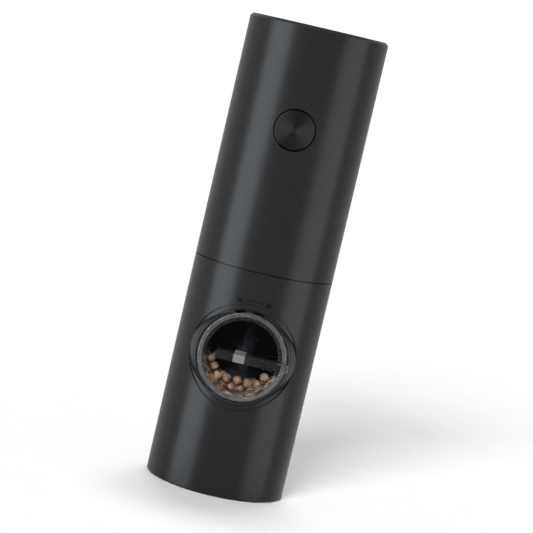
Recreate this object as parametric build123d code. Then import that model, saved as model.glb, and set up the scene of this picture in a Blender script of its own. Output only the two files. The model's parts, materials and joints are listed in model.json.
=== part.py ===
from build123d import *
import math
import os

# Electric pepper mill: a motor drives a conical burr set at the foot through one planetary stage.
# Millimetres. Origin at the centre of the foot, +Z up, the button and the filling hatch face -Y.

# ---- Body
BODY_R = 31.5
WALL = 2.0
HEIGHT = 211.0
SEAM_Z = 101.3
SEAM_GAP = 0.4
TOP_CHAMFER = 1.2
FOOT_ROUND = 0.8
INNER_R = BODY_R - WALL
FIT = 0.1

# ---- Button, on the front of the upper shell
BUTTON_Z = 165.3
BUTTON_R = 8.7
BUTTON_HOLE_R = 9.35
BUTTON_EDGE = 0.25
BUTTON_FACE_Y = -31.3
BUTTON_CAP_T = 2.3
FLANGE_R = 10.3
FLANGE_Y = -27.3
FLANGE_T = 1.3
STEM_R = 2.2
STEM_END_Y = -18.5
GUIDE_R = 12.2
GUIDE_BACK_Y = -17.0
GUIDE_PLATE_T = 1.6
GUIDE_LEG = (8.0, 1.5)
BUTTON_SPRING = (5.5, 0.35)
BUTTON_SPRING_TURNS = 4
SWITCH_HALF = 3.0
SWITCH_T = 3.4
PLUNGER_R = 1.75

# ---- Filling hatch, on the front of the lower shell; its axis runs along Y
HATCH_Z = 63.2
RECESS_R = 23.8
RECESS_DEPTH = 0.6
PORT_R = 21.6
BOSS_FRONT_R = 20.7
BOSS_FRONT_Y = -29.4
BOSS_BACK_Y = -20.0
RING_R = 19.7
RING_FRONT_Y = -30.5
RING_T = 1.6
RING_ROUND = 0.8
STEP_R = 18.3
STEP_Y = -29.9
EDGE_ROUND = 0.35
DISH_OUT_R = 17.6
DISH_IN_R = 16.1
PANE_FRONT_Y = -20.2
PANE_T = 1.6
POCKET_R = 20.0
POCKET_FLOOR_Y = -27.9
LIP_R = 18.1
LIP_BACK_Y = -25.6
UNDERCUT_R = 19.7
UNDERCUT_BACK_Y = -23.2
COLLAR_R = 21.4
COLLAR_BACK_Y = -21.0
LUG_R = 19.3
LUG_FRONT_Y = -25.3
LUG_T = 1.7
LUG_HALF = 5.0
LUG_ANGLES = (30.0, 150.0, 270.0)
HATCH_TURN = 13.0
LIP_START = 6.0
TAB_R = 20.8
TAB_ANGLE = 93.3
TAB_HALF = 4.6
TAB_T = 1.0
GRIP_X = (-12.1, 21.1)
GRIP_Z = 62.6
GRIP_H = 3.66
GRIP_FRONT_Y = -33.3
GRIP_ROUND = 0.5
CORE_X = (-3.6, 1.4)

# ---- Drive train, on the mill's own axis
SHAFT_FLATS = 5.15
SHAFT_TURN = 26.0
SHAFT_TOP_Z = 93.0
SQUARE_BOTTOM_Z = 12.0
THREAD_R = 2.0
SHAFT_BOTTOM_Z = 1.8
COLLAR_Z = (49.5, 52.5)
COLLAR_DISC_R = 7.0
COLLAR_EDGE = 0.4
BURR_SPRING = (4.9, 0.5)
BURR_SPRING_TURNS = 6
MODULE = 0.8
SUN_TEETH = 12
PLANET_TEETH = 18
RING_TEETH = SUN_TEETH + 2 * PLANET_TEETH
PRESSURE = math.radians(25.0)
ADDENDUM = 0.8 * MODULE
DEDENDUM = 1.1 * MODULE
BACKLASH = 0.12
PLANET_ANGLES = (0.0, 120.0, 240.0)
CENTRE_R = MODULE * (SUN_TEETH + PLANET_TEETH) / 2
PIN_R = 1.5
RUN = 0.06
GEAR_Z = (96.8, 104.4)
DECK_Z = (90.0, 92.4)
DECK_RIM_Z = 110.0
DECK_RIM_T = 1.8
GEARBOX_R = 22.6
GEARBOX_FLOOR_Z = 94.2
LID_Z = (105.6, 107.6)
LID_R = 27.0
COLUMN_RING_R = 24.2
SCREW_ANGLES = (90.0, 210.0, 330.0)
COLUMN_ANGLES = (30.0, 150.0, 270.0)
BUSH_R = 7.5
BUSH_BOTTOM_Z = 88.0
HUB_R = 4.9
HUB_BOTTOM_Z = 86.5
CARRIER_R = 15.5
MOTOR_R = 12.2
MOTOR_TOP_Z = 134.0
MOTOR_CAP_T = 2.0
MOTOR_SHAFT_R = 1.0
MOTOR_SCREW_R = 7.0
MOTOR_BOSS_R = 3.0
MOTOR_WALL = 1.0
MAGNET_IN_R = 9.2
MAGNET_Z = (111.0, 129.0)
MAGNET_FROM_X = 5.5
ARMATURE_R = 8.6
ARMATURE_Z = (112.0, 128.0)
SLOT_R = 6.4
SLOT_HALF = 0.7
WINDING_R = 2.6
COMMUTATOR_Z = (127.5, 132.8)

# ---- Grinder, at the foot
BASE_PLATE_Z = (1.0, 4.0)
BASE_BORE_R = 16.5
STATOR_Z = (8.0, 29.9)
STATOR_R = 18.5
STATOR_IN_R = (15.0, 14.5)
ROTOR_Z = (8.3, 30.0)
ROTOR_R = (14.0, 7.5)
SEAT_Z = (4.0, 30.0)
SEAT_TUBE = (18.6, 21.0)
FUNNEL_TOP_Z = 41.0
SEAT_SCREW_R = 24.5
THROAT_R = 16.8
FUNNEL_EDGE = 1.2
SEAT_COLUMN_R = 3.0
ROTOR_TEETH = 12
ROTOR_GROOVE = 1.7
STATOR_TEETH = 24
STATOR_GROOVE = 1.5
KNOB_R = 10.5
KNOB_Z = (1.2, 8.2)
KNOB_NOTCHES = 12
KNOB_NOTCH_R = 1.6

# ---- Screws: shank radius, head radius, head height
BOARD_SCREW = (0.9, 1.8, 1.2)
MOTOR_SCREW = (1.2, 1.9, 1.05)
GEAR_SCREW = (1.25, 2.4, 1.8)
BASE_SCREW = (1.4, 2.6, 1.6)

# ---- Battery, boards and charging port, in the upper shell
CHASSIS_FLOOR_Z = (136.4, 138.0)
CELL_R = 9.2
CELL_LENGTH = 65.0
CELL_Y = 6.0
CELL_TIP = (3.0, 1.5)
CONTACT_R = 5.0
CONTACT_T = 0.6
CHASSIS_ROOF_T = 1.8
POST_X = (11.0, 13.5)
POST_Y = (-11.8, 10.0)
BOARD_T = 1.6
BOARD_Z = (142.0, 200.0)
BOARD_HALF = 13.5
BOARD_SCREWS = ((-12.2, 147.0), (12.2, 195.0))
SHELF_Z = 150.0
SHELF_T = 2.4
SHELF_Y = (16.5, 24.5)
PORT_BOARD_T = 1.2
PORT_Z = 152.8
PORT_SIZE = (8.94, 7.2, 3.2)
PORT_BACK_Y = 29.0
PORT_WALL = 0.4
PORT_ROUND = 1.4
PORT_FLOOR = 1.2
TONGUE_HALF = 3.3
TONGUE_Z = (1.25, 1.95)
PORT_SLOT = (10.5, 4.6)
FLAP_Z = (148.0, 157.6)
FLAP_HALF = 7.7
FLAP_HINGE = (30.9, 147.2)
FLAP_T = 1.0
FLAP_RECESS = 1.1
FLAP_GAP = 0.3
BARREL = (0.45, 6.0)
FLAP_PLUG = (8.0, 2.4, 1.6)

FROM_BASE = (Align.CENTER, Align.CENTER, Align.MIN)
FAR = 60.0


def disc(r, z0, z1, x=0.0, y=0.0):
    """Upright cylinder from z0 to z1."""
    return Pos(x, y, z0) * Cylinder(r, z1 - z0, align=FROM_BASE)


def tube(r_out, r_in, z0, z1, x=0.0, y=0.0):
    return disc(r_out, z0, z1, x, y) - disc(r_in, z0 - 1, z1 + 1, x, y)


def block(x, y, z):
    """Box between the two limits given for each axis."""
    size = [high - low for low, high in (x, y, z)]
    middle = [(high + low) / 2 for low, high in (x, y, z)]
    return Pos(*middle) * Box(*size)


def facing(x, y, z):
    """Plane that faces the front: its own x is +X, its own y is +Z, and it extrudes to -Y."""
    return Plane(origin=(x, y, z), x_dir=(1, 0, 0), z_dir=(0, -1, 0))


def rod(r, y0, y1, x=0.0, z=HATCH_Z):
    """Cylinder along Y from y0 to y1."""
    return facing(x, y1, z) * Cylinder(r, y1 - y0, align=FROM_BASE)


def pipe(r_out, r_in, y0, y1, x=0.0, z=HATCH_Z):
    return rod(r_out, y0, y1, x, z) - rod(r_in, y0 - 1, y1 + 1, x, z)


def polar(r, degrees):
    return r * math.cos(math.radians(degrees)), r * math.sin(math.radians(degrees))


def wedge(r_in, r_out, a0, a1, y0, y1):
    """Sector of a ring about the hatch's axis, between two angles counted from +X towards +Z."""
    middle = (a0 + a1) / 2
    reach = 2 * r_out
    fan = Polygon((0, 0), polar(reach, a0), polar(reach, middle), polar(reach, a1), align=None)
    return extrude(facing(0, y1, HATCH_Z) * fan, y1 - y0) & pipe(r_out, r_in, y0, y1)


def square_bar(flats, z0, z1):
    """The shaft's square section, turned as the shaft is."""
    return Pos(0, 0, z0) * Rot(0, 0, SHAFT_TURN) * Box(flats, flats, z1 - z0, align=FROM_BASE)


# ---- Shells

def boss():
    """Tapered boss that the round hatch needs where the body curves away to its left and right."""
    side_y = -math.sqrt(BODY_R**2 - RECESS_R**2)
    slope = (RECESS_R - BOSS_FRONT_R) / (side_y - BOSS_FRONT_Y)
    back_r = BOSS_FRONT_R + slope * (BOSS_BACK_Y - BOSS_FRONT_Y)
    cone = Cone(back_r, BOSS_FRONT_R, BOSS_BACK_Y - BOSS_FRONT_Y, align=FROM_BASE)
    return (facing(0, BOSS_BACK_Y, HATCH_Z) * cone) & rod(RECESS_R, -FAR, 0)


def lower_shell():
    top = SEAM_Z - SEAM_GAP / 2
    outside = disc(BODY_R, 0, top)
    outside = fillet(outside.edges().group_by(Axis.Z)[0], FOOT_ROUND)
    recess = rod(RECESS_R, -FAR, 0) - disc(BODY_R - RECESS_DEPTH, -1, HEIGHT)
    shell = (outside - recess + boss()) - disc(INNER_R, -1, HEIGHT)
    return shell - rod(PORT_R, -FAR, 0)


def upper_shell():
    shell = tube(BODY_R, INNER_R, SEAM_Z + SEAM_GAP / 2, HEIGHT - TOP_CHAMFER)
    shell -= rod(BUTTON_HOLE_R, -FAR, 0, z=BUTTON_Z)
    slot = Plane(origin=(0, 0, PORT_Z), x_dir=(-1, 0, 0), z_dir=(0, 1, 0)) * SlotOverall(*PORT_SLOT)
    shell -= extrude(slot, FAR)
    width = FLAP_HALF + FLAP_GAP
    low = FLAP_HINGE[1] - BARREL[0] - FLAP_GAP
    recess = block((-width, width), (0, FAR), (low, FLAP_Z[1] + FLAP_GAP))
    return shell - (recess - disc(BODY_R - FLAP_RECESS, 0, HEIGHT))


def top_cap():
    low = HEIGHT - TOP_CHAMFER
    plate = Pos(0, 0, low) * Cone(BODY_R, BODY_R - TOP_CHAMFER, TOP_CHAMFER, align=FROM_BASE)
    return plate + tube(INNER_R - FIT, INNER_R - WALL, low - 5.0, low)


# ---- Button

def button_cap():
    cap = rod(BUTTON_R, BUTTON_FACE_Y, BUTTON_FACE_Y + BUTTON_CAP_T, z=BUTTON_Z)
    return chamfer(cap.edges().group_by(Axis.Y)[0], BUTTON_EDGE)


def button_carrier():
    front = BUTTON_FACE_Y + BUTTON_CAP_T
    carrier = rod(BUTTON_R - 0.4, front, FLANGE_Y, z=BUTTON_Z)
    carrier += rod(FLANGE_R, FLANGE_Y, FLANGE_Y + FLANGE_T, z=BUTTON_Z)
    return carrier + rod(STEM_R, FLANGE_Y, STEM_END_Y, z=BUTTON_Z)


def button_guide():
    front = -INNER_R
    plate_y = GUIDE_BACK_Y - GUIDE_PLATE_T
    guide = rod(GUIDE_R, front, GUIDE_BACK_Y, z=BUTTON_Z)
    guide -= rod(FLANGE_R + 0.3, front - 1, plate_y, z=BUTTON_Z)
    guide -= rod(STEM_R + 0.4, plate_y - 1, 0, z=BUTTON_Z)
    offset, leg_r = GUIDE_LEG
    for x in (-offset, offset):
        for z in (-offset, offset):
            guide += rod(leg_r, GUIDE_BACK_Y - 0.5, board_front(), x, BUTTON_Z + z)
    return guide & disc(INNER_R - FIT, 0, HEIGHT)


def coil(radius, wire_r, length, turns):
    """Coil spring that stands on the XY plane."""
    path = Helix(pitch=(length - 2 * wire_r) / turns, height=length - 2 * wire_r, radius=radius)
    section = Plane(origin=path @ 0, z_dir=path % 0) * Circle(wire_r)
    return Pos(0, 0, wire_r) * sweep(section, path=path, is_frenet=True)


def button_spring():
    back = GUIDE_BACK_Y - GUIDE_PLATE_T - FIT
    length = back - (FLANGE_Y + FLANGE_T) - FIT
    return facing(0, back, BUTTON_Z) * coil(*BUTTON_SPRING, length, BUTTON_SPRING_TURNS)


def switch_body():
    front = board_front() - SWITCH_T
    height = (BUTTON_Z - SWITCH_HALF, BUTTON_Z + SWITCH_HALF)
    body = block((-SWITCH_HALF, SWITCH_HALF), (front, board_front()), height)
    return body - rod(PLUNGER_R + 0.15, front - 1, board_front() - 0.9, z=BUTTON_Z)


def switch_plunger():
    return rod(PLUNGER_R, STEM_END_Y, board_front() - 2.0, z=BUTTON_Z)


# ---- Filling hatch

def hatch_collar():
    """Bayonet socket: a pocket for the ring, three lips for the lugs and room to turn behind them."""
    front = disc(BODY_R - RECESS_DEPTH, 0, HEIGHT) + boss()
    collar = rod(COLLAR_R, -FAR, COLLAR_BACK_Y) & front
    collar -= rod(POCKET_R, -FAR, POCKET_FLOOR_Y)
    collar -= rod(LIP_R, -FAR, 0)
    collar -= rod(UNDERCUT_R, LIP_BACK_Y, UNDERCUT_BACK_Y)
    for angle in LUG_ANGLES:
        first = angle - LIP_START
        last = angle + HATCH_TURN + LIP_START
        collar -= wedge(LIP_R - 1, UNDERCUT_R, first, last, -FAR, LIP_BACK_Y + 1)
    sweep_half = HATCH_TURN + TAB_HALF + 1.0
    window = (TAB_ANGLE - sweep_half, TAB_ANGLE + sweep_half)
    return collar - wedge(POCKET_R - 1, TAB_R + 0.3, *window, -FAR, RING_FRONT_Y + TAB_T + 0.3)


def hatch_gasket():
    front = RING_FRONT_Y + RING_T + 0.05
    return pipe(RING_R - 0.1, DISH_OUT_R + 0.15, front, POCKET_FLOOR_Y - 0.2)


def round_circle(shape, r, y, size):
    """Rounds the circular edge about the hatch's axis that has radius r and lies at y."""
    circles = shape.edges().filter_by(GeomType.CIRCLE)
    found = [edge for edge in circles if abs(edge.radius - r) < 0.01 and abs((edge @ 0).Y - y) < 0.01]
    return fillet(found, size)


def grip():
    """Rounded web that crosses the hatch: a bar in front of the ring, and its foot down to the pane."""
    length = GRIP_X[1] - GRIP_X[0]
    outline = RectangleRounded(length, GRIP_H, GRIP_H / 2 - 0.15)
    bar_back = STEP_Y + 0.1
    bar = extrude(facing(sum(GRIP_X) / 2, bar_back, GRIP_Z) * outline, bar_back - GRIP_FRONT_Y)
    bar = fillet(bar.edges().group_by(Axis.Y)[0], GRIP_ROUND)
    foot_back = PANE_FRONT_Y + 0.5
    foot = extrude(facing(sum(GRIP_X) / 2, foot_back, GRIP_Z) * outline, foot_back - RING_FRONT_Y)
    return bar + (foot & rod(DISH_OUT_R, -FAR, 0))


def hatch_cover():
    """Clear moulding: ring, dish, pane, bayonet lugs, index tab and the web that the fingers turn."""
    back = PANE_FRONT_Y + PANE_T
    cover = rod(RING_R, RING_FRONT_Y, RING_FRONT_Y + RING_T) + rod(DISH_OUT_R, RING_FRONT_Y, back)
    cover -= rod(STEP_R, -FAR, STEP_Y) + rod(DISH_IN_R, -FAR, PANE_FRONT_Y)
    cover = round_circle(cover, RING_R, RING_FRONT_Y, RING_ROUND)
    cover = round_circle(cover, STEP_R, RING_FRONT_Y, EDGE_ROUND)
    cover = round_circle(cover, DISH_IN_R, STEP_Y, EDGE_ROUND)
    for angle in LUG_ANGLES:
        span = (angle - LUG_HALF, angle + LUG_HALF)
        cover += wedge(DISH_OUT_R - 0.5, LUG_R, *span, LUG_FRONT_Y, LUG_FRONT_Y + LUG_T)
    span = (TAB_ANGLE - TAB_HALF, TAB_ANGLE + TAB_HALF)
    cover += wedge(RING_R - RING_ROUND, TAB_R, *span, RING_FRONT_Y, RING_FRONT_Y + TAB_T)
    return (cover + grip()) - grip_core()


def grip_core():
    """Frosted block let into the middle of the web."""
    height = (GRIP_Z - GRIP_H / 2, GRIP_Z + GRIP_H / 2)
    return block(CORE_X, (GRIP_FRONT_Y, PANE_FRONT_Y - 0.4), height) & grip()


# ---- Battery, boards and charging port

def board_front():
    return POST_Y[0] - BOARD_T


def chassis():
    """Floor, two posts and a roof that hold the cell, on three columns that stand on the gear lid."""
    roof_z = cell_bottom() + CELL_LENGTH + CONTACT_T
    frame = disc(INNER_R - 0.3, *CHASSIS_FLOOR_Z) - disc(4.0, 0, HEIGHT)
    frame += disc(INNER_R - 3.5, roof_z, roof_z + CHASSIS_ROOF_T)
    for side in (-1, 1):
        across = sorted((side * POST_X[0], side * POST_X[1]))
        frame += block(across, POST_Y, (CHASSIS_FLOOR_Z[0], roof_z + 0.5))
        frame += block(across, (POST_Y[1] - 1, SHELF_Y[1]), (SHELF_Z - SHELF_T, SHELF_Z))
    for angle in COLUMN_ANGLES:
        frame += disc(2.2, LID_Z[1], CHASSIS_FLOOR_Z[0] + 0.5, *polar(COLUMN_RING_R, angle))
    for x, z in BOARD_SCREWS:
        frame -= rod(BOARD_SCREW[0] + 0.05, POST_Y[0] - 1, POST_Y[0] + 6, x, z)
    return frame


def cell_bottom():
    return CHASSIS_FLOOR_Z[1] + CONTACT_T


def battery_cell():
    low = cell_bottom()
    tip_r, tip_height = CELL_TIP
    cell = disc(CELL_R, low, low + CELL_LENGTH - tip_height, y=CELL_Y)
    return cell + disc(tip_r, low, low + CELL_LENGTH, y=CELL_Y)


def contact_plate(z):
    return disc(CONTACT_R, z, z + CONTACT_T, y=CELL_Y)


def control_board():
    board = block((-BOARD_HALF, BOARD_HALF), (board_front(), POST_Y[0]), BOARD_Z)
    for x, z in BOARD_SCREWS:
        board -= rod(BOARD_SCREW[0] + FIT, -FAR, 0, x, z)
    return board


def board_screw(x, z):
    shank_r, head_r, head = BOARD_SCREW
    front = board_front()
    return rod(head_r, front - head, front, x, z) + rod(shank_r, front, POST_Y[0] + 5.0, x, z)


def charge_board():
    return block((-BOARD_HALF, BOARD_HALF), SHELF_Y, (SHELF_Z, SHELF_Z + PORT_BOARD_T))


def charge_port():
    width, depth, height = PORT_SIZE
    low = SHELF_Z + PORT_BOARD_T
    y = (PORT_BACK_Y - depth, PORT_BACK_Y)
    shell = block((-width / 2, width / 2), y, (low, low + height))
    shell = fillet(shell.edges().filter_by(Axis.Y), PORT_ROUND)
    mouth = shell - block((-FAR, FAR), (0, y[0] + PORT_FLOOR), (0, HEIGHT))
    half = width / 2 - PORT_WALL
    mouth &= block((-half, half), (0, FAR), (low + PORT_WALL, low + height - PORT_WALL))
    tongue_z = [low + z for z in TONGUE_Z]
    tongue = block((-TONGUE_HALF, TONGUE_HALF), (y[0], PORT_BACK_Y - 1), tongue_z)
    return shell - mouth + tongue


def port_cover():
    """Soft flap that fills the recess round the port; a barrel along its lower edge is its hinge."""
    flap = block((-FLAP_HALF, FLAP_HALF), (0, FAR), FLAP_Z)
    flap &= tube(BODY_R - 0.05, BODY_R - 0.05 - FLAP_T, 0, HEIGHT)
    y, z = FLAP_HINGE
    barrel_r, barrel_length = BARREL
    barrel = Pos(0, y, z) * Rot(0, 90, 0) * Cylinder(barrel_r, barrel_length)
    half = barrel_length / 2
    web = block((-half, half), (y - barrel_r, y + barrel_r), (z, FLAP_Z[0] + 0.2))
    plug_width, plug_height, plug_length = FLAP_PLUG
    plug = Plane(origin=(0, BODY_R - 2.4, PORT_Z), x_dir=(-1, 0, 0), z_dir=(0, 1, 0))
    return flap + barrel + web + extrude(plug * SlotOverall(plug_width, plug_height), plug_length)


# ---- Motor and planetary gears

def involute(angle):
    return math.tan(angle) - angle


def gear_outline(teeth, tip_r, root_r, thickness):
    """Face of a spur gear with one tooth on +X; thickness is the tooth's width on the pitch circle."""
    pitch_r = MODULE * teeth / 2
    base_r = pitch_r * math.cos(PRESSURE)

    def half_angle(r):
        flank = involute(PRESSURE) - involute(math.acos(min(1.0, base_r / r)))
        return math.degrees(thickness / (2 * pitch_r) + flank)

    foot_r = max(root_r, base_r)
    middle_r = (foot_r + tip_r) / 2
    step = 360.0 / teeth
    edges = []
    for tooth in range(teeth):
        a = tooth * step
        rise = [polar(r, a - half_angle(r)) for r in (foot_r, middle_r, tip_r)]
        fall = [polar(r, a + half_angle(r)) for r in (tip_r, middle_r, foot_r)]
        root_a = a + half_angle(foot_r)
        root_b = a + step - half_angle(foot_r)
        edges.append(ThreePointArc(*rise))
        edges.append(ThreePointArc(rise[2], polar(tip_r, a), fall[0]))
        edges.append(ThreePointArc(*fall))
        if foot_r > root_r:
            edges.append(Line(fall[2], polar(root_r, root_a)))
        root_middle = polar(root_r, a + step / 2)
        edges.append(ThreePointArc(polar(root_r, root_a), root_middle, polar(root_r, root_b)))
        if foot_r > root_r:
            edges.append(Line(polar(root_r, root_b), polar(foot_r, root_b)))
    return make_face(Wire(edges))


def spur_gear(teeth):
    pitch_r = MODULE * teeth / 2
    tooth_t = math.pi * MODULE / 2 - BACKLASH
    return gear_outline(teeth, pitch_r + ADDENDUM, pitch_r - DEDENDUM, tooth_t)


def sun_gear():
    gear = extrude(spur_gear(SUN_TEETH), GEAR_Z[1] - GEAR_Z[0])
    return Pos(0, 0, GEAR_Z[0]) * gear - disc(MOTOR_SHAFT_R, 0, HEIGHT)


def planet_gear(angle):
    """Planet on its pin: a gap faces the sun's tooth, so its teeth stand half a step off."""
    gear = extrude(spur_gear(PLANET_TEETH), GEAR_Z[1] - GEAR_Z[0])
    turned = Rot(0, 0, angle + 180.0 / PLANET_TEETH) * gear
    x, y = polar(CENTRE_R, angle)
    return Pos(x, y, GEAR_Z[0]) * turned - disc(PIN_R + RUN, 0, HEIGHT, x, y)


def gear_housing():
    """Fixed ring gear with a floor, and three ears for the screws that hold it to the deck."""
    pitch_r = MODULE * RING_TEETH / 2
    hollow = gear_outline(RING_TEETH, pitch_r + DEDENDUM, pitch_r - ADDENDUM, math.pi * MODULE / 2)
    depth = LID_Z[0] - GEARBOX_FLOOR_Z
    teeth = Pos(0, 0, GEARBOX_FLOOR_Z) * Rot(0, 0, 180.0 / RING_TEETH) * extrude(hollow, depth)
    housing = disc(GEARBOX_R, DECK_Z[1], LID_Z[0])
    for angle in SCREW_ANGLES:
        housing += disc(GEAR_SCREW[1] + 0.4, DECK_Z[1], LID_Z[0], *polar(COLUMN_RING_R, angle))
    housing -= teeth + disc(BUSH_R + FIT, 0, HEIGHT)
    for angle in SCREW_ANGLES:
        housing -= disc(GEAR_SCREW[0] + 0.15, 0, HEIGHT, *polar(COLUMN_RING_R, angle))
    return housing


def gear_lid():
    lid = disc(LID_R, *LID_Z) - disc(MOTOR_BOSS_R + 0.2, 0, HEIGHT)
    for angle in SCREW_ANGLES:
        lid -= disc(GEAR_SCREW[0] + 0.15, 0, HEIGHT, *polar(COLUMN_RING_R, angle))
    shank_r, head_r, head = MOTOR_SCREW
    for side in (-1, 1):
        x = side * MOTOR_SCREW_R
        lid -= disc(shank_r + 0.05, 0, HEIGHT, x) + disc(head_r + FIT, 0, LID_Z[0] + head + 0.05, x)
    return lid


def gear_screw(angle):
    shank_r, head_r, head = GEAR_SCREW
    x, y = polar(COLUMN_RING_R, angle)
    return disc(shank_r, DECK_Z[0] + 0.4, LID_Z[1], x, y) + disc(head_r, LID_Z[1], LID_Z[1] + head, x, y)


def motor_screw(side):
    shank_r, head_r, head = MOTOR_SCREW
    x = side * MOTOR_SCREW_R
    low = LID_Z[0] + 0.05
    return disc(head_r, low, low + head, x) + disc(shank_r, low, LID_Z[1] + 1.4, x)


def planet_carrier():
    """Plate with three planet pins; its hub runs in the bush and grips the top of the shaft."""
    carrier = disc(CARRIER_R, GEARBOX_FLOOR_Z + 0.4, GEAR_Z[0] - 0.4)
    carrier += disc(HUB_R, HUB_BOTTOM_Z, GEARBOX_FLOOR_Z + 1)
    for angle in PLANET_ANGLES:
        carrier += disc(PIN_R, GEAR_Z[0] - 1, GEAR_Z[1] + 0.2, *polar(CENTRE_R, angle))
    return carrier - square_bar(SHAFT_FLATS + FIT, 0, SHAFT_TOP_Z + FIT)


def output_bush():
    bush = disc(BUSH_R, BUSH_BOTTOM_Z, GEARBOX_FLOOR_Z) + disc(BUSH_R + 2, BUSH_BOTTOM_Z, DECK_Z[0])
    return bush - disc(HUB_R + RUN, 0, HEIGHT)


def motor_can():
    low = LID_Z[1]
    can = disc(MOTOR_R, low, MOTOR_TOP_Z) - disc(MOTOR_R - MOTOR_WALL, low + MOTOR_WALL, HEIGHT)
    can += disc(MOTOR_BOSS_R, low - 1, low + 2.4)
    for side in (-1, 1):
        can -= disc(MOTOR_SCREW[0] + 0.05, 0, low + 2, side * MOTOR_SCREW_R)
    return can - disc(MOTOR_SHAFT_R + RUN, 0, HEIGHT)


def motor_magnet(side):
    arc = tube(MOTOR_R - MOTOR_WALL - FIT, MAGNET_IN_R, *MAGNET_Z)
    reach = sorted((side * MAGNET_FROM_X, side * FAR))
    return arc & block(reach, (-FAR, FAR), (0, HEIGHT))


def motor_armature():
    """Three-pole armature and commutator on the motor's shaft."""
    core = disc(ARMATURE_R, *ARMATURE_Z)
    for angle in COLUMN_ANGLES:
        core -= disc(WINDING_R, 0, HEIGHT, *polar(SLOT_R, angle + 30.0))
        core -= Rot(0, 0, angle + 30.0) * block((SLOT_R, FAR), (-SLOT_HALF, SLOT_HALF), (0, HEIGHT))
    core += disc(WINDING_R, *COMMUTATOR_Z)
    return core + disc(MOTOR_SHAFT_R, GEAR_Z[0], MOTOR_TOP_Z + 1.6)


def motor_cap():
    cap = disc(MOTOR_R, MOTOR_TOP_Z, MOTOR_TOP_Z + MOTOR_CAP_T)
    return cap - disc(MOTOR_SHAFT_R + RUN, 0, MOTOR_TOP_Z + MOTOR_CAP_T - 0.3)


def hopper_deck():
    """Ceiling of the hopper; its rim also joins the two shells behind the seam."""
    outer = INNER_R - FIT
    deck = disc(outer, *DECK_Z) + tube(outer, outer - DECK_RIM_T, DECK_Z[0], DECK_RIM_Z)
    deck -= disc(BUSH_R + FIT, 0, HEIGHT)
    for angle in SCREW_ANGLES:
        deck -= disc(GEAR_SCREW[0] + 0.05, DECK_Z[0] + 0.3, HEIGHT, *polar(COLUMN_RING_R, angle))
    return deck


# ---- Shaft and grinder

def drive_shaft():
    thread = disc(THREAD_R, SHAFT_BOTTOM_Z, SQUARE_BOTTOM_Z + 1)
    return square_bar(SHAFT_FLATS, SQUARE_BOTTOM_Z, SHAFT_TOP_Z) + thread


def shaft_collar():
    collar = chamfer(disc(COLLAR_DISC_R, *COLLAR_Z).edges(), COLLAR_EDGE)
    return collar - square_bar(SHAFT_FLATS + FIT, 0, HEIGHT)


def burr_spring():
    low = ROTOR_Z[1] + FIT
    return Pos(0, 0, low) * coil(*BURR_SPRING, COLLAR_Z[0] - FIT - low, BURR_SPRING_TURNS)


def rotor_burr():
    """Cone with twelve straight cutting grooves and a square bore that slides on the shaft."""
    height = ROTOR_Z[1] - ROTOR_Z[0]
    burr = Pos(0, 0, ROTOR_Z[0]) * Cone(*ROTOR_R, height, align=FROM_BASE)
    lean = math.degrees(math.atan((ROTOR_R[0] - ROTOR_R[1]) / height))
    middle_r = sum(ROTOR_R) / 2
    groove = Rot(0, -lean, 0) * Rot(0, 0, 45) * Box(ROTOR_GROOVE, ROTOR_GROOVE, 2 * height)
    for tooth in range(ROTOR_TEETH):
        turn = Rot(0, 0, tooth * 360.0 / ROTOR_TEETH)
        burr -= turn * Pos(middle_r, 0, sum(ROTOR_Z) / 2) * groove
    return burr - square_bar(SHAFT_FLATS + 2 * FIT, 0, HEIGHT)


def stator_burr():
    """Fixed ring with twenty-four upright grooves inside."""
    height = STATOR_Z[1] - STATOR_Z[0]
    bore = Pos(0, 0, STATOR_Z[0]) * Cone(*STATOR_IN_R, height, align=FROM_BASE)
    ring = disc(STATOR_R, *STATOR_Z) - bore
    tool = Rot(0, 0, 45) * Box(STATOR_GROOVE, STATOR_GROOVE, 2 * height)
    groove = Pos(STATOR_IN_R[1], 0, sum(STATOR_Z) / 2) * tool
    for tooth in range(STATOR_TEETH):
        ring -= Rot(0, 0, tooth * 360.0 / STATOR_TEETH) * groove
    return ring


def grinder_seat():
    """Funnel floor of the hopper, with the tube that holds the fixed burr and three screw columns."""
    outer = INNER_R - FIT
    profile = Polygon(
        (THROAT_R, SEAT_Z[1]), (outer, SEAT_Z[1]), (outer, FUNNEL_TOP_Z),
        (outer - FUNNEL_EDGE, FUNNEL_TOP_Z), (THROAT_R, SEAT_Z[1] + 3.0), align=None)
    seat = revolve(Plane.XZ * profile, Axis.Z)
    seat += tube(SEAT_TUBE[1], SEAT_TUBE[0], SEAT_Z[0], SEAT_Z[1] + 0.5)
    for angle in SCREW_ANGLES:
        seat += disc(SEAT_COLUMN_R, SEAT_Z[0], SEAT_Z[1] + 0.5, *polar(SEAT_SCREW_R, angle))
    for angle in SCREW_ANGLES:
        seat -= disc(BASE_SCREW[0] + 0.05, 0, 16.0, *polar(SEAT_SCREW_R, angle))
    return seat


def base_plate():
    """Ring under the grinder; its inner rim holds the fixed burr up against the funnel."""
    plate = disc(INNER_R - FIT, *BASE_PLATE_Z) + disc(STATOR_R, BASE_PLATE_Z[0], STATOR_Z[0])
    plate -= disc(BASE_BORE_R, 0, HEIGHT)
    shank_r, head_r, head = BASE_SCREW
    for angle in SCREW_ANGLES:
        x, y = polar(SEAT_SCREW_R, angle)
        plate -= disc(shank_r + 0.05, 0, HEIGHT, x, y)
        plate -= disc(head_r + 0.2, 0, BASE_PLATE_Z[0] + head + 0.3, x, y)
    return plate


def base_screw(angle):
    shank_r, head_r, head = BASE_SCREW
    x, y = polar(SEAT_SCREW_R, angle)
    low = BASE_PLATE_Z[0] + 0.3
    return disc(head_r, low, low + head, x, y) + disc(shank_r, low, 15.0, x, y)


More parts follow.
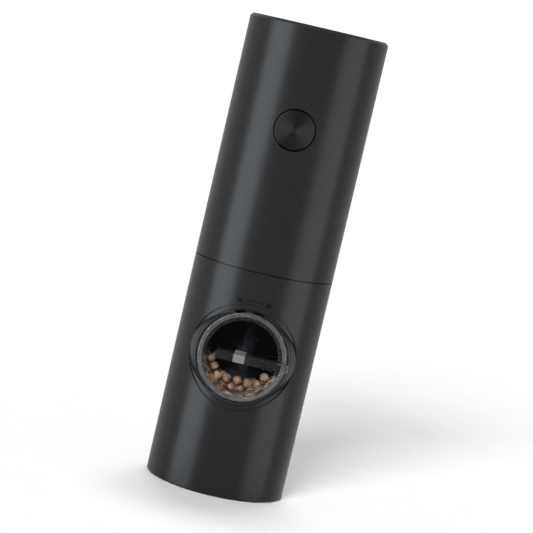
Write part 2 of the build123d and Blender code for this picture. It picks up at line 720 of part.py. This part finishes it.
def coarseness_knob():
    knob = chamfer(disc(KNOB_R, *KNOB_Z).edges().group_by(Axis.Z)[0], 0.6)
    for notch in range(KNOB_NOTCHES):
        place = polar(KNOB_R + 0.6, notch * 360.0 / KNOB_NOTCHES)
        knob -= disc(KNOB_NOTCH_R, 0, KNOB_Z[1] - 1.5, *place)
    return knob - disc(THREAD_R + RUN, 0, HEIGHT)


nodes = {
    "lower_shell": lower_shell(),
    "upper_shell": upper_shell(),
    "top_cap": top_cap(),
    "button_cap": button_cap(),
    "button_carrier": button_carrier(),
    "button_guide": button_guide(),
    "button_spring": button_spring(),
    "switch_body": switch_body(),
    "switch_plunger": switch_plunger(),
    "hatch_collar": hatch_collar(),
    "hatch_gasket": hatch_gasket(),
    "hatch_cover": hatch_cover(),
    "grip_core": grip_core(),
    "chassis": chassis(),
    "battery_cell": battery_cell(),
    "contact_lower": contact_plate(CHASSIS_FLOOR_Z[1]),
    "contact_upper": contact_plate(cell_bottom() + CELL_LENGTH),
    "control_board": control_board(),
    "charge_board": charge_board(),
    "charge_port": charge_port(),
    "port_cover": port_cover(),
    "sun_gear": sun_gear(),
    "gear_housing": gear_housing(),
    "gear_lid": gear_lid(),
    "planet_carrier": planet_carrier(),
    "output_bush": output_bush(),
    "motor_can": motor_can(),
    "motor_armature": motor_armature(),
    "motor_cap": motor_cap(),
    "hopper_deck": hopper_deck(),
    "drive_shaft": drive_shaft(),
    "shaft_collar": shaft_collar(),
    "burr_spring": burr_spring(),
    "rotor_burr": rotor_burr(),
    "stator_burr": stator_burr(),
    "grinder_seat": grinder_seat(),
    "base_plate": base_plate(),
    "coarseness_knob": coarseness_knob(),
}
for number, (x, z) in enumerate(BOARD_SCREWS, 1):
    nodes[f"board_screw_{number}"] = board_screw(x, z)
for number, side in enumerate((-1, 1), 1):
    nodes[f"motor_magnet_{number}"] = motor_magnet(side)
    nodes[f"motor_screw_{number}"] = motor_screw(side)
for number, angle in enumerate(PLANET_ANGLES, 1):
    nodes[f"planet_gear_{number}"] = planet_gear(angle)
for number, angle in enumerate(SCREW_ANGLES, 1):
    nodes[f"gear_screw_{number}"] = gear_screw(angle)
    nodes[f"base_screw_{number}"] = base_screw(angle)

os.makedirs("parts", exist_ok=True)
for name, shape in nodes.items():
    export_step(shape, f"parts/{name}.step")
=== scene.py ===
"""The electric pepper mill's looks: finishes, peppercorns behind the hatch, lock marks and a pale studio."""
import json
import math
import random

import bpy
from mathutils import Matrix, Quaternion, Vector

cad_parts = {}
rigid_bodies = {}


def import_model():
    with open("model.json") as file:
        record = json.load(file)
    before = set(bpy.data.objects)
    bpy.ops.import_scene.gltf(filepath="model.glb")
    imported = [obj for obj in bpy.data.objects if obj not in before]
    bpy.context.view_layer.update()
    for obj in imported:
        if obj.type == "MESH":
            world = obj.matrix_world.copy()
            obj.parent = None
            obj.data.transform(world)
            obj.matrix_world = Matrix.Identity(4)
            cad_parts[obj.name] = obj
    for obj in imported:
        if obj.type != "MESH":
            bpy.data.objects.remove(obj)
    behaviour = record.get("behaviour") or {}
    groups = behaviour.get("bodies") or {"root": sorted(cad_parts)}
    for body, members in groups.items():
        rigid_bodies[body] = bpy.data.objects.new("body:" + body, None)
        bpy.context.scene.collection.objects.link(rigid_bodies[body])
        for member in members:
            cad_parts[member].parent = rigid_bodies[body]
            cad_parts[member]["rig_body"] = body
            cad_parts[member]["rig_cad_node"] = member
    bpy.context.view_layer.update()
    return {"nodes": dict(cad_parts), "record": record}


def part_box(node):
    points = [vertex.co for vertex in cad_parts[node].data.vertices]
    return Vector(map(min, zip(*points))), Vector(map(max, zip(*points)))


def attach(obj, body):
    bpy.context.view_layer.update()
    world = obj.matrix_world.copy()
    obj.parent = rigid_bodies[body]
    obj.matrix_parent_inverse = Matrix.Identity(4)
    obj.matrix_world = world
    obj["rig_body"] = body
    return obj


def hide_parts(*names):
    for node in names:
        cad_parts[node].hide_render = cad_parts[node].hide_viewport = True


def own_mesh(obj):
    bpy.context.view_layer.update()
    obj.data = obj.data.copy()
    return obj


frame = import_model()
nodes = frame["nodes"]

MM = 0.001
MERGE = 0.001 * MM

# ---------------------------------------------------------------- places, read from the frame
BODY_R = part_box("lower_shell")[1].x
WALL_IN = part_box("hopper_deck")[1].x + 0.1 * MM
hatch_low, hatch_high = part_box("hatch_gasket")
HATCH_Z = (hatch_low.z + hatch_high.z) / 2
FUNNEL_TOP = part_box("grinder_seat")[1].z
cover_low, cover_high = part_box("hatch_cover")


# ---------------------------------------------------------------- small helpers
def pick_nothing():
    if bpy.context.object and bpy.context.object.mode != "OBJECT":
        bpy.ops.object.mode_set(mode="OBJECT")
    bpy.ops.object.select_all(action="DESELECT")


def settle(piece, name):
    """Names the piece and puts its place, turn and size into its mesh."""
    piece.name = name
    piece.data.name = name
    bpy.ops.object.select_all(action="DESELECT")
    piece.select_set(True)
    bpy.context.view_layer.objects.active = piece
    bpy.ops.object.transform_apply(location=True, rotation=True, scale=True)
    return piece


def modify(piece, kind, **settings):
    """Adds a modifier and applies it at once."""
    bpy.context.view_layer.objects.active = piece
    modifier = piece.modifiers.new(kind.title(), kind)
    for key, value in settings.items():
        setattr(modifier, key, value)
    bpy.ops.object.modifier_apply(modifier=modifier.name)


# ---------------------------------------------------------------- finishes
SKIN_FROM = BODY_R - 1.6 * MM
SKIN_TO = BODY_R - 1.2 * MM
HAZE = 0.015
HAZE_FROM_Y = cover_low.y + 4 * MM
HAZE_TO_Y = cover_high.y - 3 * MM


def start(name, color, roughness, metallic=0.0):
    """A new material with its shader; returns the material, its tree and the shader."""
    material = bpy.data.materials.new(name)
    material.use_nodes = True
    tree = material.node_tree
    shader = tree.nodes["Principled BSDF"]
    shader.inputs["Base Color"].default_value = (*color, 1.0)
    shader.inputs["Roughness"].default_value = roughness
    shader.inputs["Metallic"].default_value = metallic
    return material, tree, shader


def noise(tree, scale, detail=3.0):
    place = tree.nodes.new("ShaderNodeTexCoord")
    pattern = tree.nodes.new("ShaderNodeTexNoise")
    pattern.inputs["Scale"].default_value = scale
    pattern.inputs["Detail"].default_value = detail
    tree.links.new(place.outputs["Object"], pattern.inputs["Vector"])
    return pattern.outputs["Fac"]


def ramp(tree, value, low, high, first=0.3, last=0.7):
    """Turns a 0 to 1 value into a colour between two."""
    colors = tree.nodes.new("ShaderNodeValToRGB")
    colors.color_ramp.elements[0].position = first
    colors.color_ramp.elements[0].color = (*low, 1.0)
    colors.color_ramp.elements[1].position = last
    colors.color_ramp.elements[1].color = (*high, 1.0)
    tree.links.new(value, colors.inputs["Fac"])
    return colors.outputs["Color"]


def spread(tree, value, low, high):
    """Turns a 0 to 1 value into a number between two."""
    change = tree.nodes.new("ShaderNodeMapRange")
    change.inputs["To Min"].default_value = low
    change.inputs["To Max"].default_value = high
    tree.links.new(value, change.inputs["Value"])
    return change.outputs["Result"]


def bump(tree, shader, height, strength, distance):
    dent = tree.nodes.new("ShaderNodeBump")
    dent.inputs["Strength"].default_value = strength
    dent.inputs["Distance"].default_value = distance
    tree.links.new(height, dent.inputs["Height"])
    tree.links.new(dent.outputs["Normal"], shader.inputs["Normal"])


def grained(name, color, lighter, roughness, grain=2600.0, strength=0.15, metallic=0.0):
    """Moulded or cast surface: fine grain in its bump, soft clouds in its colour and gloss."""
    material, tree, shader = start(name, color, roughness, metallic)
    clouds = noise(tree, 45.0)
    tree.links.new(ramp(tree, clouds, color, lighter), shader.inputs["Base Color"])
    gloss = spread(tree, noise(tree, 160.0), roughness - 0.04, roughness + 0.04)
    tree.links.new(gloss, shader.inputs["Roughness"])
    bump(tree, shader, noise(tree, grain, 2.0), strength, 0.02 * MM)
    return material


def satin_black():
    """Satin skin outside; near black inside the wall, a painted shade for the hopper's dark inside, told apart
    by the distance from the axis.
    """
    color, lighter = (0.0165, 0.0165, 0.017), (0.0185, 0.0185, 0.019)
    material = grained("satin_black", color, lighter, 0.28, strength=0.07)
    tree = material.node_tree
    shader = tree.nodes["Principled BSDF"]
    shader.inputs["Specular IOR Level"].default_value = 0.25
    place = tree.nodes.new("ShaderNodeTexCoord")
    flat = tree.nodes.new("ShaderNodeMapping")
    flat.inputs["Scale"].default_value = (1.0, 1.0, 0.0)
    distance = tree.nodes.new("ShaderNodeVectorMath")
    distance.operation = "LENGTH"
    outside = tree.nodes.new("ShaderNodeMapRange")
    outside.inputs["From Min"].default_value = SKIN_FROM
    outside.inputs["From Max"].default_value = SKIN_TO
    tree.links.new(place.outputs["Object"], flat.inputs["Vector"])
    tree.links.new(flat.outputs["Vector"], distance.inputs[0])
    tree.links.new(distance.outputs["Value"], outside.inputs["Value"])
    skin = tree.nodes.new("ShaderNodeMixRGB")
    # Near-black colour inside the wall: painted shade for the dark inside of the hopper, not a finish of its
    # own.
    inner = ramp(tree, noise(tree, 45.0), (0.002, 0.002, 0.002), (0.003, 0.003, 0.003))
    tree.links.new(outside.outputs["Result"], skin.inputs["Fac"])
    tree.links.new(inner, skin.inputs["Color1"])
    tree.links.new(shader.inputs["Base Color"].links[0].from_socket, skin.inputs["Color2"])
    tree.links.new(skin.outputs["Color"], shader.inputs["Base Color"])
    return material


def mark_ink():
    """Matt print, a shade darker than the satin body."""
    material = grained("mark_ink", (0.005, 0.005, 0.005), (0.007, 0.007, 0.007), 0.6)
    material.node_tree.nodes["Principled BSDF"].inputs["Specular IOR Level"].default_value = 0.06
    return material


def clear_plastic():
    """Clear moulding, faintly hazy towards its front; lamps shine through it onto what is behind."""
    material, tree, shader = start("clear_plastic", (0.90, 0.91, 0.92), 0.02)
    place = tree.nodes.new("ShaderNodeTexCoord")
    axes = tree.nodes.new("ShaderNodeSeparateXYZ")
    clear = tree.nodes.new("ShaderNodeMapRange")
    clear.inputs["From Min"].default_value = HAZE_FROM_Y
    clear.inputs["From Max"].default_value = HAZE_TO_Y
    clear.inputs["To Min"].default_value = 1.0 - HAZE
    clear.inputs["To Max"].default_value = 1.0
    tree.links.new(place.outputs["Object"], axes.inputs["Vector"])
    tree.links.new(axes.outputs["Y"], clear.inputs["Value"])
    tree.links.new(clear.outputs["Result"], shader.inputs["Transmission Weight"])
    shader.inputs["IOR"].default_value = 1.49
    bump(tree, shader, noise(tree, 90.0, 1.0), 0.10, 0.05 * MM)
    rays = tree.nodes.new("ShaderNodeLightPath")
    passing = tree.nodes.new("ShaderNodeBsdfTransparent")
    passing.inputs["Color"].default_value = (0.92, 0.92, 0.92, 1.0)
    glass = tree.nodes.new("ShaderNodeMixShader")
    tree.links.new(rays.outputs["Is Shadow Ray"], glass.inputs["Fac"])
    tree.links.new(shader.outputs["BSDF"], glass.inputs[1])
    tree.links.new(passing.outputs["BSDF"], glass.inputs[2])
    tree.links.new(glass.outputs["Shader"], tree.nodes["Material Output"].inputs["Surface"])
    return material


def frosted_plastic():
    return grained("frosted_plastic", (0.15, 0.15, 0.15), (0.19, 0.19, 0.19), 0.5, 1800.0)


def turned_metal():
    """Dark metal face with the fine rings a lathe leaves, which fan the light out from the centre."""
    material, tree, shader = start("turned_metal", (0.042, 0.042, 0.043), 0.42, 0.78)
    low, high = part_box("button_cap")
    place = tree.nodes.new("ShaderNodeTexCoord")
    centre = tree.nodes.new("ShaderNodeMapping")
    centre.inputs["Location"].default_value = (0.0, 0.0, -(low.z + high.z) / 2)
    rings = tree.nodes.new("ShaderNodeTexWave")
    rings.wave_type = "RINGS"
    rings.rings_direction = "Y"
    rings.inputs["Scale"].default_value = 1100.0
    rings.inputs["Distortion"].default_value = 0.0
    tree.links.new(place.outputs["Object"], centre.inputs["Vector"])
    tree.links.new(centre.outputs["Vector"], rings.inputs["Vector"])
    bump(tree, shader, rings.outputs["Fac"], 0.35, 0.03 * MM)
    shader.inputs["Anisotropic"].default_value = 0.95
    shader.inputs["Anisotropic Rotation"].default_value = 0.25
    radial = tree.nodes.new("ShaderNodeTangent")
    radial.direction_type = "RADIAL"
    radial.axis = "Y"
    tree.links.new(radial.outputs["Tangent"], shader.inputs["Tangent"])
    return material


def brushed_steel():
    return grained("brushed_steel", (0.42, 0.42, 0.43), (0.50, 0.50, 0.51), 0.32, 1500.0, 0.1, 1.0)


def pepper_skin():
    """Husk in uneven browns, with creases."""
    material, tree, shader = start("pepper_skin", (0.35, 0.2, 0.11), 0.62)
    wrinkles = tree.nodes.new("ShaderNodeTexVoronoi")
    wrinkles.feature = "DISTANCE_TO_EDGE"
    wrinkles.inputs["Scale"].default_value = 850.0
    place = tree.nodes.new("ShaderNodeTexCoord")
    tree.links.new(place.outputs["Object"], wrinkles.inputs["Vector"])
    skin = ramp(tree, noise(tree, 260.0), (0.055, 0.031, 0.02), (0.19, 0.115, 0.07))
    tree.links.new(skin, shader.inputs["Base Color"])
    bump(tree, shader, wrinkles.outputs["Distance"], 0.5, 0.25 * MM)
    return material


FINISH = {
    "body_black": satin_black(),
    "inner_black": grained("gloss_black", (0.010, 0.010, 0.014), (0.012, 0.012, 0.017), 0.22, 900.0, 0.05),
    "clear": clear_plastic(),
    "frosted": frosted_plastic(),
    "spun_metal": turned_metal(),
    "rubber_black": grained("soft_rubber", (0.013, 0.013, 0.013), (0.018, 0.018, 0.018), 0.7, 1400.0, 0.3),
    "steel": brushed_steel(),
    "chrome_part": grained("plated_steel", (0.55, 0.55, 0.57), (0.6, 0.6, 0.62), 0.18, 700.0, 0.03, 1.0),
    "ceramic": grained("burr_ceramic", (0.66, 0.64, 0.60), (0.74, 0.72, 0.67), 0.45, 1900.0, 0.3),
    "gear_white": grained("acetal", (0.60, 0.59, 0.54), (0.66, 0.65, 0.60), 0.38, 1200.0, 0.08),
    "brass_part": grained("brass", (0.60, 0.42, 0.16), (0.68, 0.49, 0.21), 0.28, 1100.0, 0.08, 1.0),
    "magnet": grained("ferrite", (0.04, 0.04, 0.042), (0.06, 0.06, 0.062), 0.55, 1700.0, 0.3),
    "board_green": grained("board_green", (0.01, 0.10, 0.035), (0.015, 0.13, 0.045), 0.35, 1500.0, 0.08),
    "cell_wrap": grained("cell_wrap", (0.02, 0.09, 0.28), (0.025, 0.11, 0.33), 0.3, 500.0, 0.04),
    "frame_grey": grained("frame_grey", (0.035, 0.035, 0.038), (0.05, 0.05, 0.054), 0.5),
}
PEPPER = pepper_skin()
MARK_INK = mark_ink()

for entry in frame["record"]["subparts"]:
    mesh = nodes[entry["node"]].data
    mesh.materials.clear()
    mesh.materials.append(FINISH[entry["material_slot"]])


# ---------------------------------------------------------------- springs, welded copies in place of the rigid coils
def soft_spring(joint_name):
    """A welded copy of the joint's coil in place of the rigid one, kept on the same body."""
    joint = next(j for j in frame["record"]["behaviour"]["joints"] if j["name"] == joint_name)
    node = joint["deforming_nodes"][0]["node"]
    body = nodes[node]["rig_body"]
    pick_nothing()
    nodes[node].select_set(True)
    bpy.context.view_layer.objects.active = nodes[node]
    bpy.ops.object.duplicate()
    bpy.ops.object.parent_clear(type="CLEAR_KEEP_TRANSFORM")
    coil = settle(bpy.context.object, node + "_coil")
    del coil["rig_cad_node"]
    bpy.ops.object.mode_set(mode="EDIT")
    bpy.ops.mesh.select_all(action="SELECT")
    bpy.ops.mesh.remove_doubles(threshold=MERGE)
    bpy.ops.object.mode_set(mode="OBJECT")
    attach(coil, body)
    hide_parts(node)
    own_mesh(coil)


soft_spring("button_press")
soft_spring("burr_shift")


# ---------------------------------------------------------------- peppercorns in the hopper
CORN_R = 2.2 * MM
CORN_STEP = 4.55 * MM
CORN_KINDS = 4
CORN_JITTER = 0.2 * MM
CORN_ROOM = CORN_R * 1.1
WALL_ROOM = CORN_R * 1.15
HUSK_GRAIN = 1.3 * MM
HUSK_DEPTH = 0.5 * MM
SHAFT_REACH = 7.0 * MM
PILE_LOW = FUNNEL_TOP + CORN_R
PILE_TOP = 51.6 * MM
PILE_RISE = 6.0 * MM
PILE_RISE_AT = 13.0 * MM
PILE_SLOPE = 0.45
PILE_LEAN = 0.08
PILE_LAYERS = 6
PILE_HALF_ROWS = 8


def peppercorn(name, turn):
    """One husk: a ball of 80 facets, pushed in and out by noise and shaded smooth."""
    bpy.ops.mesh.primitive_ico_sphere_add(subdivisions=2, radius=CORN_R)
    corn = bpy.context.object
    texture = bpy.data.textures.new(name, "CLOUDS")
    texture.noise_scale = HUSK_GRAIN
    modify(corn, "DISPLACE", texture=texture, strength=HUSK_DEPTH, mid_level=0.5)
    bpy.ops.object.shade_smooth()
    corn.rotation_euler = (turn, 2 * turn, 0)
    return settle(corn, name)


def pile_places():
    """Centres of a loose pile in jittered hexagonal layers."""
    random.seed(11)
    places = []
    row_step = CORN_STEP * math.sqrt(3) / 2
    layer_step = CORN_STEP * math.sqrt(2 / 3)
    steps = range(-PILE_HALF_ROWS, PILE_HALF_ROWS + 1)
    for layer in range(PILE_LAYERS):
        z = PILE_LOW + layer * layer_step
        for row in steps:
            for column in steps:
                x = (column + (row % 2) / 2 + (layer % 2) / 2) * CORN_STEP
                y = (row + (layer % 2) / 3) * row_step
                jitter = [random.uniform(-CORN_JITTER, CORN_JITTER) for _ in range(3)]
                place = Vector((x + jitter[0], y + jitter[1], z + jitter[2]))
                if fits(place):
                    places.append(place)
    return places


def fits(place):
    """Inside the wall, behind the hatch's dish, clear of the shaft and under the pile's surface.

    The surface is lowest in the middle, higher on the left, and falls away behind the hatch.
    """
    out = math.hypot(place.x, place.y)
    front = cover_high.y + CORN_ROOM
    rise = min(PILE_RISE, PILE_RISE * (place.x / PILE_RISE_AT) ** 2)
    surface = PILE_TOP + rise - PILE_LEAN * place.x - PILE_SLOPE * (place.y - front)
    if out > WALL_IN - WALL_ROOM or place.z > surface:
        return False
    return out > SHAFT_REACH + CORN_ROOM and place.y > front


def fill_hopper():
    kinds = [peppercorn(f"peppercorn_kind_{n}", 0.7 * n) for n in range(CORN_KINDS)]
    corns = []
    for number, place in enumerate(pile_places()):
        corn = kinds[number % CORN_KINDS].copy()
        corn.data = kinds[number % CORN_KINDS].data.copy()
        bpy.context.collection.objects.link(corn)
        corn.rotation_euler = [random.uniform(0, 6.28) for _ in range(3)]
        corn.scale = [random.uniform(0.94, 1.04)] * 3
        corn.location = place
        corns.append(corn)
    for kind in kinds:
        bpy.data.objects.remove(kind)
    bpy.ops.object.select_all(action="DESELECT")
    for corn in corns:
        corn.select_set(True)
    bpy.context.view_layer.objects.active = corns[0]
    bpy.ops.object.join()
    pile = settle(corns[0], "peppercorns")
    pile.data.materials.clear()
    pile.data.materials.append(PEPPER)
    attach(pile, "housing")
    return pile


pick_nothing()
fill_hopper()


# ---------------------------------------------------------------- lock marks above the hatch
MARK_Z = HATCH_Z + 25.2 * MM
MARK_X = 6.6 * MM
MARK_PROUD = 0.04 * MM
MARK_ARC_R = 25.7 * MM
MARK_ARC_HALF = 4.6 * MM
MARK_ARC_THIN = 0.985
MARK_START_Y = -BODY_R - 2 * MM
PLATE = (2.1 * MM, 1.6 * MM, 1.0)
PLATE_DROP = 0.5 * MM
SHACKLE_R = 0.72 * MM
SHACKLE_THIN = 0.6
SHACKLE_RISE = 0.4 * MM
OPEN_SHIFT = 0.7 * MM
OPEN_LIFT = 0.25 * MM


def wrap_on_shell(flat, name):
    """Lays a flat mark on the round shell and gives it the thickness of ink."""
    settle(flat, name)
    modify(flat, "SHRINKWRAP", target=nodes["lower_shell"], wrap_method="PROJECT", use_project_y=True,
           use_positive_direction=True, use_negative_direction=True, offset=MARK_PROUD / 2)
    modify(flat, "SOLIDIFY", thickness=MARK_PROUD, offset=0.0)
    flat.data.materials.append(MARK_INK)
    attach(flat, "housing")
    return flat


def padlock_body(x, name):
    """Small plate, the lower part of a lock."""
    bpy.ops.mesh.primitive_plane_add(size=1.0, location=(x, MARK_START_Y, MARK_Z - PLATE_DROP),
                                     rotation=(math.pi / 2, 0, 0))
    plate = bpy.context.object
    plate.scale = PLATE
    settle(plate, name)
    bpy.ops.object.mode_set(mode="EDIT")
    bpy.ops.mesh.select_all(action="SELECT")
    bpy.ops.mesh.subdivide(number_cuts=3)
    bpy.ops.object.mode_set(mode="OBJECT")
    return wrap_on_shell(plate, name)


def padlock_shackle(x, lift, name):
    """Half ring over the plate; lifted to one side on the open lock."""
    z = MARK_Z + SHACKLE_RISE + lift
    bpy.ops.mesh.primitive_circle_add(vertices=24, radius=SHACKLE_R, fill_type="NOTHING",
                                      location=(x, MARK_START_Y, z), rotation=(math.pi / 2, 0, 0))
    ring = bpy.context.object
    settle(ring, name)
    bpy.ops.object.mode_set(mode="EDIT")
    bpy.ops.mesh.select_all(action="SELECT")
    bpy.ops.mesh.bisect(plane_co=(x, 0, z), plane_no=(0, 0, 1), clear_inner=True)
    bpy.ops.mesh.select_all(action="SELECT")
    bpy.ops.mesh.extrude_region_move(TRANSFORM_OT_translate={"value": (0, 0, 0)})
    bpy.ops.transform.resize(value=(SHACKLE_THIN, 1.0, SHACKLE_THIN), center_override=(x, 0, z))
    bpy.ops.object.mode_set(mode="OBJECT")
    return wrap_on_shell(ring, name)


def turn_mark(name):
    """Thin arc between the locks, about the hatch's centre."""
    centre = (0.0, MARK_START_Y, HATCH_Z)
    bpy.ops.mesh.primitive_circle_add(vertices=160, radius=MARK_ARC_R, fill_type="NOTHING", location=centre,
                                      rotation=(math.pi / 2, 0, 0))
    arc = bpy.context.object
    settle(arc, name)
    bpy.ops.object.mode_set(mode="EDIT")
    for side in (-1, 1):
        edge = (side * MARK_ARC_HALF, 0, 0)
        bpy.ops.mesh.select_all(action="SELECT")
        bpy.ops.mesh.bisect(plane_co=edge, plane_no=(side, 0, 0), clear_outer=True)
    bpy.ops.mesh.select_all(action="SELECT")
    bpy.ops.mesh.bisect(plane_co=centre, plane_no=(0, 0, -1), clear_outer=True)
    bpy.ops.mesh.select_all(action="SELECT")
    bpy.ops.mesh.extrude_region_move(TRANSFORM_OT_translate={"value": (0, 0, 0)})
    bpy.ops.transform.resize(value=(MARK_ARC_THIN, 1.0, MARK_ARC_THIN), center_override=centre)
    bpy.ops.object.mode_set(mode="OBJECT")
    return wrap_on_shell(arc, name)


padlock_body(MARK_X, "lock_mark_body")
padlock_shackle(MARK_X, 0.0, "lock_mark_shackle")
padlock_body(-MARK_X, "unlock_mark_body")
padlock_shackle(-MARK_X - OPEN_SHIFT, OPEN_LIFT, "unlock_mark_shackle")
turn_mark("turn_mark")


# ---------------------------------------------------------------- studio
CAMERA_PLACE = Vector((19.8, -945.7, 202.9)) * MM
CAMERA_AIM = Vector((0.94, 0.0, 101.5)) * MM
CAMERA_ROLL = 0.2291
CAMERA_LENS = 142.57
FLOOR_R = 12.0
FLOOR_LIGHT = 0.22
BACKDROP = 1.05
ROOM_FRONT = 0.03
ROOM_BACK = 0.55
ROOM_TURNS = (-0.55, 0.75)


def set_camera():
    bpy.ops.object.camera_add(location=CAMERA_PLACE)
    camera = bpy.context.object
    level = (CAMERA_AIM - CAMERA_PLACE).to_track_quat("-Z", "Y")
    camera.rotation_euler = (level @ Quaternion((0, 0, 1), CAMERA_ROLL)).to_euler()
    camera.data.lens = CAMERA_LENS
    camera.data.sensor_width = 36.0
    camera.data.clip_start = 0.01
    bpy.context.scene.camera = camera


def set_floor():
    """Matt paper that stays out of gloss and of clear pieces, which it would fill with white."""
    bpy.ops.mesh.primitive_circle_add(vertices=96, radius=FLOOR_R, fill_type="NGON")
    floor = bpy.context.object
    floor.name = "floor"
    paper = grained("floor_white", (0.88, 0.88, 0.88), (0.90, 0.90, 0.90), 0.9, 200.0, 0.02)
    paper.node_tree.nodes["Principled BSDF"].inputs["Specular IOR Level"].default_value = 0.0
    floor.data.materials.append(paper)
    floor.visible_glossy = False
    floor.visible_transmission = False


def softbox(name, azimuth, distance, height, size, watts, color):
    """Tall light that faces the mill; azimuth is counted from the front towards +X."""
    a = math.radians(azimuth)
    place = Vector((distance * math.sin(a), -distance * math.cos(a), height))
    bpy.ops.object.light_add(type="AREA", location=place)
    light = bpy.context.object
    light.name = name
    light.data.shape = "RECTANGLE"
    light.data.size, light.data.size_y = size
    light.data.energy = watts
    light.data.color = color
    light.rotation_euler = (Vector((0, 0, height)) - place).to_track_quat("-Z", "Y").to_euler()
    light.visible_camera = False
    light.visible_diffuse = False


def sun(name, way, elevation, spread_angle, strength):
    """Distant soft light, kept out of gloss; way is where its shadows point, counted from +X towards +Y."""
    bpy.ops.object.light_add(type="SUN")
    light = bpy.context.object
    light.name = name
    light.data.energy = strength
    light.data.angle = math.radians(spread_angle)
    light.visible_glossy = False
    along, drop = math.radians(way), math.radians(elevation)
    beam = Vector((math.cos(along), math.sin(along), -math.tan(drop)))
    light.rotation_euler = beam.to_track_quat("-Z", "Y").to_euler()


def mixed(tree, share, first, second):
    """One shader where share is 0 and the other where it is 1."""
    both = tree.nodes.new("ShaderNodeMixShader")
    tree.links.new(share, both.inputs["Fac"])
    tree.links.new(first, both.inputs[1])
    tree.links.new(second, both.inputs[2])
    return both.outputs["Shader"]


def backdrop(tree, strength):
    plain = tree.nodes.new("ShaderNodeBackground")
    plain.inputs["Color"].default_value = (1.0, 1.0, 1.0, 1.0)
    plain.inputs["Strength"].default_value = strength
    return plain


def set_room():
    """White room that lights the floor evenly; in gloss it is dark in front of the mill and lighter behind."""
    world = bpy.data.worlds.new("studio")
    bpy.context.scene.world = world
    world.use_nodes = True
    tree = world.node_tree
    seen = backdrop(tree, BACKDROP)
    soft = backdrop(tree, FLOOR_LIGHT)
    glossy = backdrop(tree, 1.0)
    place = tree.nodes.new("ShaderNodeTexCoord")
    axes = tree.nodes.new("ShaderNodeSeparateXYZ")
    depth = tree.nodes.new("ShaderNodeMapRange")
    depth.interpolation_type = "SMOOTHSTEP"
    depth.inputs["From Min"].default_value, depth.inputs["From Max"].default_value = ROOM_TURNS
    depth.inputs["To Min"].default_value = ROOM_FRONT
    depth.inputs["To Max"].default_value = ROOM_BACK
    tree.links.new(place.outputs["Generated"], axes.inputs["Vector"])
    tree.links.new(axes.outputs["Y"], depth.inputs["Value"])
    tree.links.new(depth.outputs["Result"], glossy.inputs["Strength"])
    rays = tree.nodes.new("ShaderNodeLightPath")
    in_gloss = rays.outputs["Is Glossy Ray"]
    unseen = mixed(tree, in_gloss, soft.outputs["Background"], glossy.outputs["Background"])
    room = mixed(tree, rays.outputs["Is Camera Ray"], unseen, seen.outputs["Background"])
    tree.links.new(room, tree.nodes["World Output"].inputs["Surface"])
    bpy.context.scene.view_settings.view_transform = "Standard"


def set_lights():
    softbox("left_box", -55.5, 0.2, 0.268, (0.132, 0.614), 1.08, (0.84, 0.92, 1.0))
    softbox("right_box", 65, 0.2, 0.268, (0.145, 0.614), 0.495, (1.0, 1.0, 1.0))
    sun("key", 74, 29, 22, 3.2)
    sun("overhead", -95, 77, 14, 1.35)
    set_room()


set_camera()
set_floor()
set_lights()
